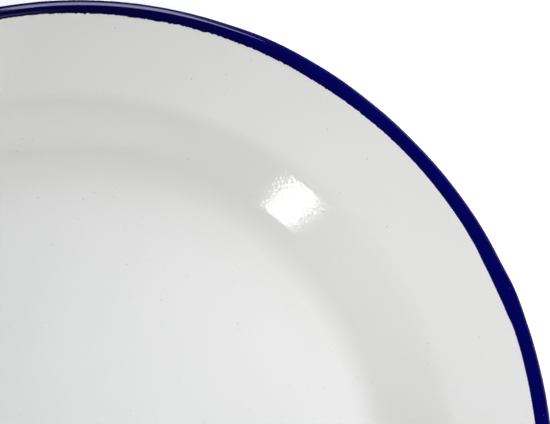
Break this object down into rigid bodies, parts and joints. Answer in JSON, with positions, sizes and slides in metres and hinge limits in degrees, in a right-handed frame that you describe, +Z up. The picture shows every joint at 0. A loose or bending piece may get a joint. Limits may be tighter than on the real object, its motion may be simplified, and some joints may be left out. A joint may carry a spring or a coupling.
{
  "type": "enamel soup plate",
  "caption": "Round enamelled steel soup plate with a flat floor, sloping well wall, wide flange and a rolled rim edged in blue, for serving food.",
  "frame": {"origin": "centre of the underside, where the plate stands on the table", "axes": "+Z up along the axis of the plate; the plate is a body of revolution, so +X and +Y are any two square directions"},
  "size_m": [0.24, 0.24, 0.0267],
  "materials": {
    "sheet_steel": "bare low-carbon enamelling steel, wholly under the coats",
    "ground_enamel": "dark cobalt ground coat, wholly under the cover coats",
    "white_enamel": "glossy white cover enamel with fine dark pinhole specks",
    "blue_enamel": "glossy dark blue edging enamel with a slightly ragged inner edge"
  },
  "bodies": {
    "root": {"steel_pressing": "sheet_steel", "ground_coat_inside": "ground_enamel", "ground_coat_underside": "ground_enamel", "white_coat_inside": "white_enamel", "white_coat_underside": "white_enamel", "blue_rim_coat": "blue_enamel"}
  },
  "joints": []
}
